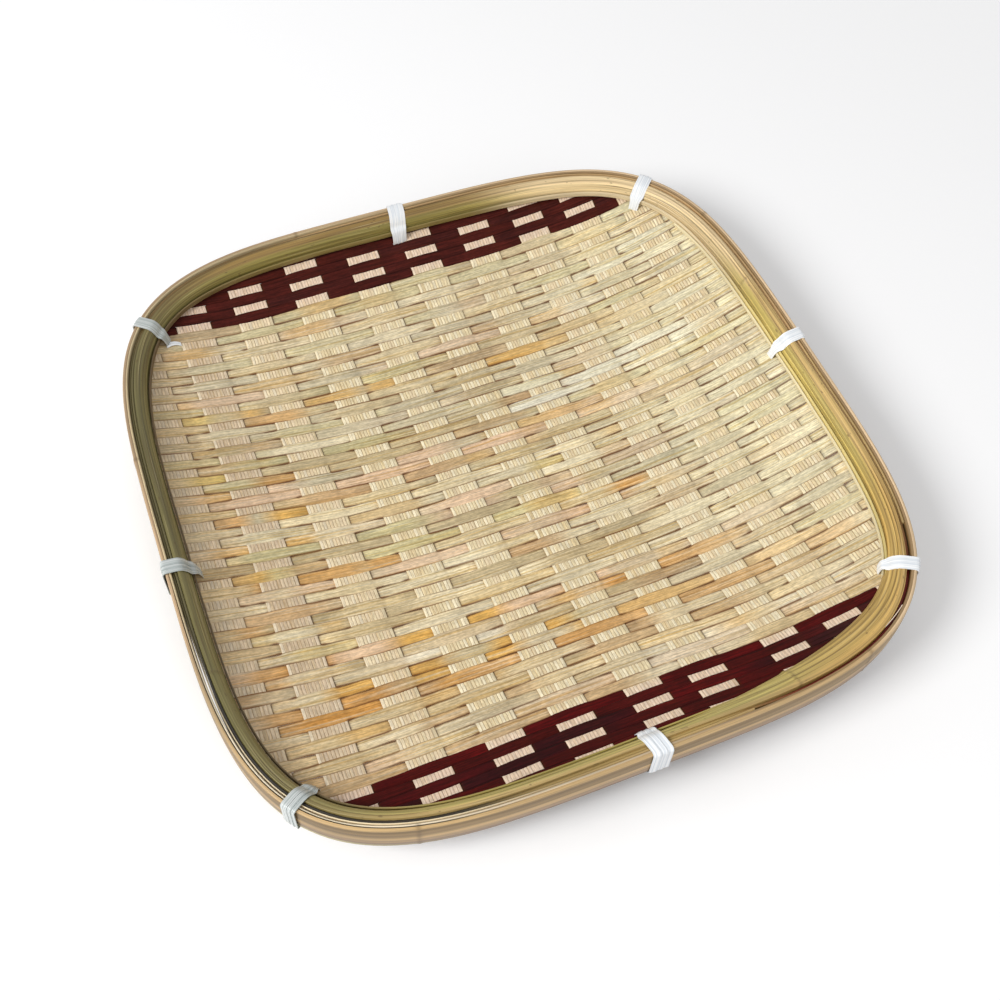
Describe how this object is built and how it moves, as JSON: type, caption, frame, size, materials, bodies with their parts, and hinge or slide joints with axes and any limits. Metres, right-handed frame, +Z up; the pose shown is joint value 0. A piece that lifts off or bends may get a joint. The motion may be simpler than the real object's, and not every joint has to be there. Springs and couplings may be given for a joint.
{
  "type": "bamboo basket",
  "caption": "Shallow square tray basket woven from flat bamboo splints, with rounded corners, dyed wefts along its front and back edges, and a rim of bent hoops laced with strip ties.",
  "frame": {"origin": "middle of the tray, on the surface that the flat middle of its mat rests on", "axes": "+Z up, out of the tray's open side; +X along the wefts; +Y along the warp bundles, towards the back"},
  "size_m": [0.2414, 0.2414, 0.0258],
  "materials": {
    "outer_bamboo": "smooth split bamboo culm, satin, with fine lengthwise grain",
    "inner_bamboo": "green to golden bamboo skin, satin, with fine lengthwise grain and small nodes",
    "lath_bamboo": "thin pale bamboo lath, matt",
    "warp_splint": "fine pale bamboo splints side by side, matt",
    "weft_splint": "flat bamboo splints, pale to honey coloured, matt to satin",
    "dyed_splint": "flat bamboo splints dyed dark wine red to near black, satin",
    "white_strip": "white flat packing strip, lightly fibred, satin"
  },
  "bodies": {
    "root": {"outer_hoop": "outer_bamboo", "filler_lath": "lath_bamboo", "turned_up_mat_edge": "weft_splint", "inner_hoop": "inner_bamboo", "foot_lath": "lath_bamboo", "warp_bundle_01": "warp_splint", "warp_bundle_02": "warp_splint", "warp_bundle_03": "warp_splint", "warp_bundle_04": "warp_splint", "warp_bundle_05": "warp_splint", "warp_bundle_06": "warp_splint", "warp_bundle_07": "warp_splint", "warp_bundle_08": "warp_splint", "warp_bundle_09": "warp_splint", "warp_bundle_10": "warp_splint", "dark_weft_front_1": "dyed_splint", "dark_weft_front_2": "dyed_splint", "dark_weft_front_3": "dyed_splint", "dark_weft_front_4": "dyed_splint", "dark_weft_front_5": "dyed_splint", "dark_weft_front_6": "dyed_splint", "dark_weft_front_7": "dyed_splint", "dark_weft_back_1": "dyed_splint", "dark_weft_back_2": "dyed_splint", "dark_weft_back_3": "dyed_splint", "dark_weft_back_4": "dyed_splint", "dark_weft_back_5": "dyed_splint", "dark_weft_back_6": "dyed_splint", "pale_weft_middle": "weft_splint", "pale_wefts_front_1": "weft_splint", "pale_wefts_front_2": "weft_splint", "pale_wefts_front_3": "weft_splint", "pale_wefts_front_4": "weft_splint", "pale_wefts_front_5": "weft_splint", "pale_wefts_front_6": "weft_splint", "pale_wefts_front_7": "weft_splint", "pale_wefts_front_8": "weft_splint", "pale_wefts_back_1": "weft_splint", "pale_wefts_back_2": "weft_splint", "pale_wefts_back_3": "weft_splint", "pale_wefts_back_4": "weft_splint", "pale_wefts_back_5": "weft_splint", "pale_wefts_back_6": "weft_splint", "pale_wefts_back_7": "weft_splint", "pale_wefts_back_8": "weft_splint", "tie_1": "white_strip", "tie_2": "white_strip", "tie_3": "white_strip", "tie_4": "white_strip", "tie_5": "white_strip", "tie_6": "white_strip", "tie_7": "white_strip", "tie_8": "white_strip"}
  },
  "joints": []
}
